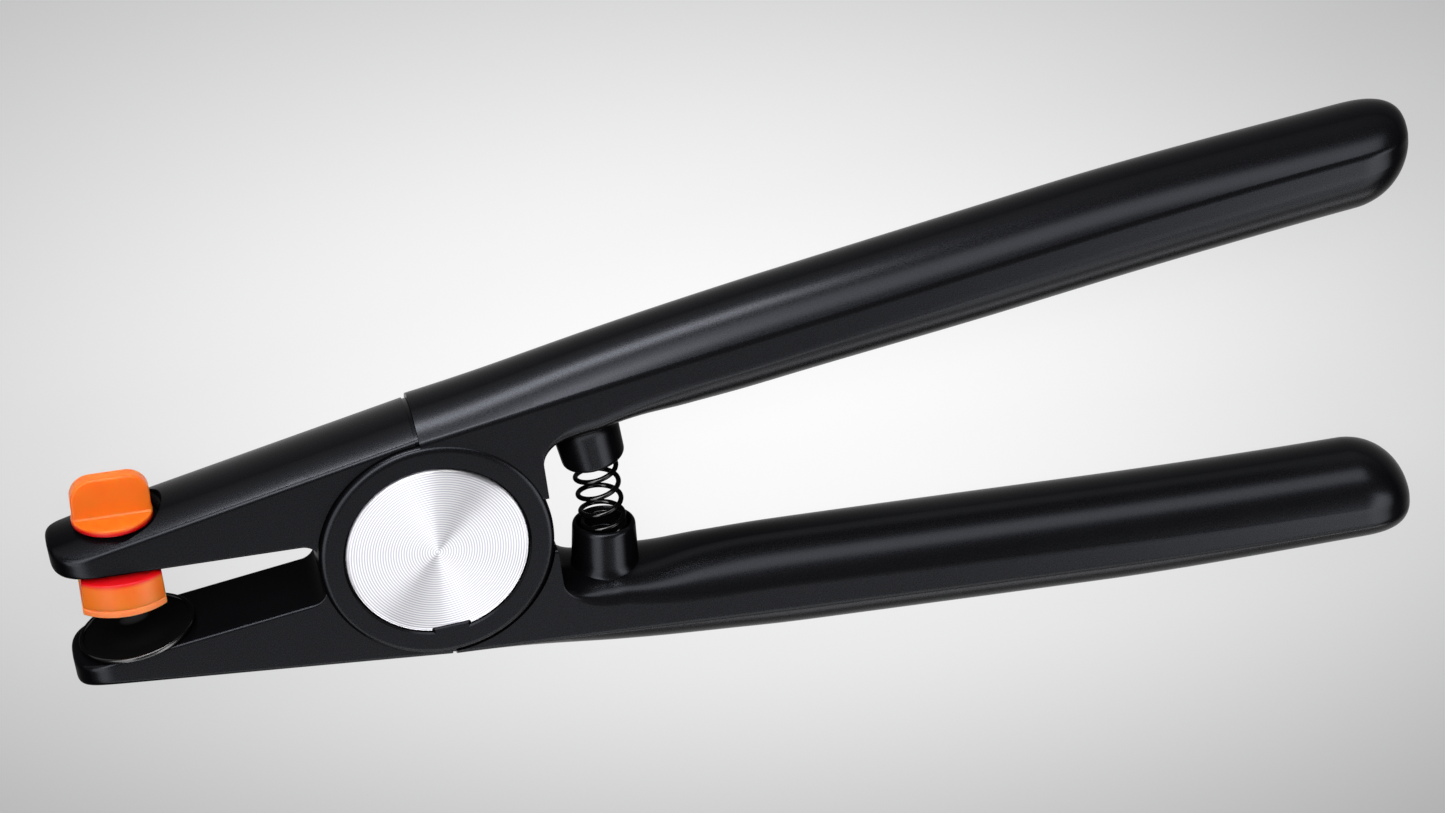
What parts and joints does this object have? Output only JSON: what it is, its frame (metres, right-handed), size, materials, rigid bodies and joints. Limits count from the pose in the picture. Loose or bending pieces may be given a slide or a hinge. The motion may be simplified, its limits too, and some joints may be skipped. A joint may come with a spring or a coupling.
{
  "type": "running pliers",
  "caption": "Running pliers for breaking scored glass: crossing levers on a covered pivot, a return spring, a swivelling winged breaker head and a dished soft pad.",
  "frame": {"origin": "on the pivot axis, in the plane of the back cover disc's outer face", "axes": "+X from the jaws to the handles along the line between them, +Y to the upper handle, +Z along the pivot axis out of the front cover disc"},
  "size_m": [0.2318, 0.0804, 0.0198],
  "materials": {
    "black_polymer": "satin with a fine moulded texture",
    "spun_aluminium": "faced with concentric turning lines",
    "bright_steel": "bright",
    "bush_bronze": "sintered",
    "white_nylon": "satin",
    "black_spring_steel": "blackened",
    "black_rubber": "satin",
    "orange_plastic": "semi-gloss",
    "pale_orange_elastomer": "satin",
    "insert_brass": "machined"
  },
  "bodies": {
    "upper_lever": {"upper_jaw_lever": "black_polymer", "back_cover_disc": "spun_aluminium", "back_bush": "bush_bronze", "pivot_bolt": "bright_steel", "pivot_nut": "bright_steel", "bolt_washer": "bright_steel", "nut_washer": "bright_steel", "hub_thrust_washer": "white_nylon", "return_spring": "black_spring_steel"},
    "lower_lever": {"lower_jaw_lever": "black_polymer", "front_cover_disc": "spun_aluminium", "front_bush": "bush_bronze", "rubber_pad": "black_rubber"},
    "breaker_head": {"breaker_knob": "orange_plastic", "breaker_foot": "orange_plastic", "foot_facing": "pale_orange_elastomer", "breaker_screw": "bright_steel", "knob_thread_insert": "insert_brass", "knob_friction_washer": "bright_steel", "foot_washer": "white_nylon"}
  },
  "joints": [
    {"name": "jaw_pivot", "type": "hinge", "parent": "upper_lever", "child": "lower_lever", "pos_m": [0, 0, 0.009], "axis": [0, 0, -1], "range_deg": [0, 8.5], "stiffness_Nm_per_rad": 0.975, "springref_deg": -5.73, "deforming": ["return_spring"]},
    {"name": "breaker_swivel", "type": "hinge", "parent": "upper_lever", "child": "breaker_head", "pos_m": [-0.0505, 0.00774, 0.009], "axis": [0.0778, 0.997, 0], "continuous": true}
  ]
}
